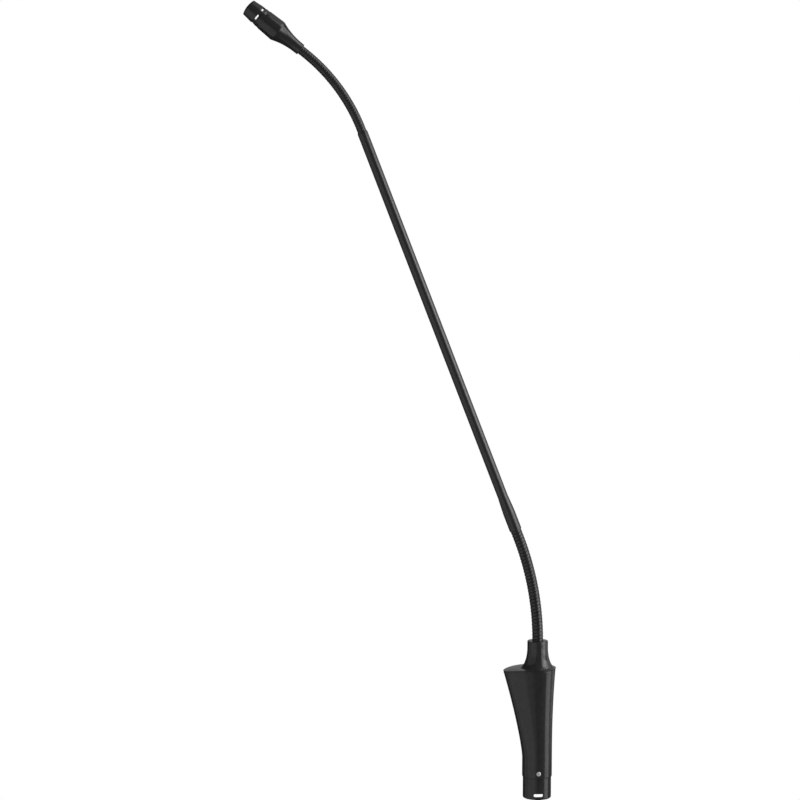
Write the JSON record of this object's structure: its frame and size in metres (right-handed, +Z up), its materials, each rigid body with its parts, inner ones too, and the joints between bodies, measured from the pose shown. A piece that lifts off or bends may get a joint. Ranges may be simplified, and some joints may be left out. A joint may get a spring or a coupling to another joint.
{
  "type": "gooseneck podium microphone",
  "caption": "Slim podium microphone on a jointed gooseneck, with a rigid tube between two flexible necks and a winged preamplifier base on a three-pin plug.",
  "frame": {"origin": "the plug's axis at the shoulder where the plug shell meets the housing", "axes": "+Z up along the plug's axis, X across, with the wing and the necks leaning to -X, and the plug's latch window and screw on -Y"},
  "size_m": [0.2066, 0.0248, 0.5319],
  "materials": {
    "black_housing_paint": "satin black paint on die-cast zinc",
    "black_tube_paint": "satin black paint on drawn brass tube",
    "black_plug_shell": "black plated die-cast zinc, semi-matt",
    "black_gooseneck_steel": "black oxide on wound spring steel",
    "capsule_cap_paint": "satin black paint on turned brass",
    "insert_plastic": "glass-filled nylon, matt",
    "gold_contact": "gold plated brass, polished",
    "screw_steel": "nickel plated steel",
    "spring_bronze": "tinned phosphor bronze",
    "board_laminate": "green solder mask on glass laminate",
    "capacitor_sleeve": "shrunk dark blue sleeve",
    "film_capacitor_case": "red dipped case",
    "moulded_case": "black moulding compound",
    "cable_jacket": "soft black jacket",
    "front_mesh_steel": "woven steel mesh, blackened",
    "foam": "open-cell foam, black",
    "capsule_aluminium": "pressed, satin",
    "metallised_film": "metallised film, bright",
    "clear_spacer": "film washer",
    "electret_backplate": "brass under an electret film"
  },
  "bodies": {
    "base": {"base_housing": "black_housing_paint", "top_cap": "black_housing_paint", "xlr_shell": "black_plug_shell", "xlr_insert": "insert_plastic", "ground_pin": "gold_contact", "hot_pin": "gold_contact", "cold_pin": "gold_contact", "ground_spring": "spring_bronze", "shell_screw": "screw_steel", "preamp_board": "board_laminate", "filter_capacitors": "capacitor_sleeve", "coupling_capacitors": "film_capacitor_case", "output_transistors": "moulded_case", "chip_resistors": "moulded_case", "board_screws": "screw_steel", "output_leads": "cable_jacket", "lower_neck_root": "black_gooseneck_steel", "neck_nut": "screw_steel", "base_cable": "cable_jacket"},
    "lower_link_1": {"lower_link_1": "black_gooseneck_steel"},
    "lower_link_2": {"lower_link_2": "black_gooseneck_steel"},
    "lower_link_3": {"lower_link_3": "black_gooseneck_steel"},
    "lower_link_4": {"lower_link_4": "black_gooseneck_steel"},
    "lower_link_5": {"lower_link_5": "black_gooseneck_steel", "lower_neck_cable": "cable_jacket"},
    "lower_link_6": {"lower_link_6": "black_gooseneck_steel"},
    "lower_link_7": {"lower_link_7": "black_gooseneck_steel"},
    "lower_link_8": {"lower_link_8": "black_gooseneck_steel"},
    "lower_link_9": {"lower_link_9": "black_gooseneck_steel"},
    "tube": {"tube_ferrule": "black_tube_paint", "lower_neck_end": "black_gooseneck_steel", "rigid_tube": "black_tube_paint", "upper_neck_root": "black_gooseneck_steel", "tube_cable": "cable_jacket"},
    "upper_link_1": {"upper_link_1": "black_gooseneck_steel"},
    "upper_link_2": {"upper_link_2": "black_gooseneck_steel"},
    "upper_link_3": {"upper_link_3": "black_gooseneck_steel"},
    "upper_link_4": {"upper_link_4": "black_gooseneck_steel"},
    "upper_link_5": {"upper_link_5": "black_gooseneck_steel", "upper_neck_cable": "cable_jacket"},
    "upper_link_6": {"upper_link_6": "black_gooseneck_steel"},
    "upper_link_7": {"upper_link_7": "black_gooseneck_steel"},
    "upper_link_8": {"upper_link_8": "black_gooseneck_steel"},
    "upper_link_9": {"upper_link_9": "black_gooseneck_steel"},
    "head": {"upper_neck_end": "black_gooseneck_steel", "head_housing": "black_tube_paint", "capsule_cap": "capsule_cap_paint", "front_mesh": "front_mesh_steel", "wind_foam": "foam", "capsule_sleeve": "insert_plastic", "capsule_can": "capsule_aluminium", "diaphragm": "metallised_film", "diaphragm_ring": "electret_backplate", "spacer_ring": "clear_spacer", "backplate": "electret_backplate", "backplate_holder": "insert_plastic", "capsule_board": "board_laminate", "field_effect_transistor": "moulded_case", "capsule_leads": "cable_jacket"}
  },
  "joints": [
    {"name": "lower_neck_bend", "type": "hinge", "parent": "base", "child": "lower_link_1", "pos_m": [0, 0, 0.0988], "axis": [0, -1, 0], "range_deg": [-19.22, 10.78], "deforming": ["lower_neck_cable"]},
    {"name": "lower_neck_side", "type": "hinge", "parent": "lower_link_1", "child": "lower_link_2", "pos_m": [-0.00053, 0, 0.10602], "axis": [0.9973, 0, 0.0736], "range_deg": [-15, 15]},
    {"name": "lower_neck_bend_2", "type": "hinge", "parent": "lower_link_2", "child": "lower_link_3", "pos_m": [-0.00107, 0, 0.11324], "axis": [0, -1, 0], "range_deg": [-19.22, 10.78]},
    {"name": "lower_neck_side_2", "type": "hinge", "parent": "lower_link_3", "child": "lower_link_4", "pos_m": [-0.00213, 0, 0.1204], "axis": [0.9892, 0, 0.1468], "range_deg": [-15, 15]},
    {"name": "lower_neck_bend_3", "type": "hinge", "parent": "lower_link_4", "child": "lower_link_5", "pos_m": [-0.00319, 0, 0.12756], "axis": [0, -1, 0], "range_deg": [-19.22, 10.78]},
    {"name": "lower_neck_side_3", "type": "hinge", "parent": "lower_link_5", "child": "lower_link_6", "pos_m": [-0.00478, 0, 0.13463], "axis": [0.9757, 0, 0.2192], "range_deg": [-15, 15]},
    {"name": "lower_neck_bend_4", "type": "hinge", "parent": "lower_link_6", "child": "lower_link_7", "pos_m": [-0.00636, 0, 0.14169], "axis": [0, -1, 0], "range_deg": [-19.22, 10.78]},
    {"name": "lower_neck_side_4", "type": "hinge", "parent": "lower_link_7", "child": "lower_link_8", "pos_m": [-0.00847, 0, 0.14862], "axis": [0.9569, 0, 0.2904], "range_deg": [-15, 15]},
    {"name": "lower_neck_bend_5", "type": "hinge", "parent": "lower_link_8", "child": "lower_link_9", "pos_m": [-0.01057, 0, 0.15555], "axis": [0, -1, 0], "range_deg": [-19.22, 10.78]},
    {"name": "lower_neck_side_5", "type": "hinge", "parent": "lower_link_9", "child": "tube", "pos_m": [-0.01318, 0, 0.1623], "axis": [0.933, 0, 0.36], "range_deg": [-15, 15]},
    {"name": "upper_neck_bend", "type": "hinge", "parent": "tube", "child": "upper_link_1", "pos_m": [-0.11967, 0, 0.43828], "axis": [0, -1, 0], "range_deg": [-20.98, 9.02], "deforming": ["upper_neck_cable"]},
    {"name": "upper_neck_side", "type": "hinge", "parent": "upper_link_1", "child": "upper_link_2", "pos_m": [-0.12247, 0, 0.44377], "axis": [0.8904, 0, 0.4552], "range_deg": [-15, 15]},
    {"name": "upper_neck_bend_2", "type": "hinge", "parent": "upper_link_2", "child": "upper_link_3", "pos_m": [-0.12528, 0, 0.44927], "axis": [0, -1, 0], "range_deg": [-20.98, 9.02]},
    {"name": "upper_neck_side_2", "type": "hinge", "parent": "upper_link_3", "child": "upper_link_4", "pos_m": [-0.12865, 0, 0.45444], "axis": [0.8381, 0, 0.5455], "range_deg": [-15, 15]},
    {"name": "upper_neck_bend_3", "type": "hinge", "parent": "upper_link_4", "child": "upper_link_5", "pos_m": [-0.13202, 0, 0.45961], "axis": [0, -1, 0], "range_deg": [-20.98, 9.02]},
    {"name": "upper_neck_side_3", "type": "hinge", "parent": "upper_link_5", "child": "upper_link_6", "pos_m": [-0.1359, 0, 0.4644], "axis": [0.7767, 0, 0.6299], "range_deg": [-15, 15]},
    {"name": "upper_neck_bend_4", "type": "hinge", "parent": "upper_link_6", "child": "upper_link_7", "pos_m": [-0.13979, 0, 0.46919], "axis": [0, -1, 0], "range_deg": [-20.98, 9.02]},
    {"name": "upper_neck_side_4", "type": "hinge", "parent": "upper_link_7", "child": "upper_link_8", "pos_m": [-0.14415, 0, 0.47355], "axis": [0.7069, 0, 0.7074], "range_deg": [-15, 15]},
    {"name": "upper_neck_bend_5", "type": "hinge", "parent": "upper_link_8", "child": "upper_link_9", "pos_m": [-0.14852, 0, 0.47792], "axis": [0, -1, 0], "range_deg": [-20.98, 9.02]},
    {"name": "upper_neck_side_5", "type": "hinge", "parent": "upper_link_9", "child": "head", "pos_m": [-0.15331, 0, 0.4818], "axis": [0.6293, 0, 0.7771], "range_deg": [-15, 15]}
  ],
  "couplings": [
    {"joint": "lower_neck_bend_2", "follows": "lower_neck_bend", "ratio": 1},
    {"joint": "lower_neck_side_2", "follows": "lower_neck_side", "ratio": 1},
    {"joint": "lower_neck_bend_3", "follows": "lower_neck_bend", "ratio": 1},
    {"joint": "lower_neck_side_3", "follows": "lower_neck_side", "ratio": 1},
    {"joint": "lower_neck_bend_4", "follows": "lower_neck_bend", "ratio": 1},
    {"joint": "lower_neck_side_4", "follows": "lower_neck_side", "ratio": 1},
    {"joint": "lower_neck_bend_5", "follows": "lower_neck_bend", "ratio": 1},
    {"joint": "lower_neck_side_5", "follows": "lower_neck_side", "ratio": 1},
    {"joint": "upper_neck_bend_2", "follows": "upper_neck_bend", "ratio": 1},
    {"joint": "upper_neck_side_2", "follows": "upper_neck_side", "ratio": 1},
    {"joint": "upper_neck_bend_3", "follows": "upper_neck_bend", "ratio": 1},
    {"joint": "upper_neck_side_3", "follows": "upper_neck_side", "ratio": 1},
    {"joint": "upper_neck_bend_4", "follows": "upper_neck_bend", "ratio": 1},
    {"joint": "upper_neck_side_4", "follows": "upper_neck_side", "ratio": 1},
    {"joint": "upper_neck_bend_5", "follows": "upper_neck_bend", "ratio": 1},
    {"joint": "upper_neck_side_5", "follows": "upper_neck_side", "ratio": 1}
  ]
}
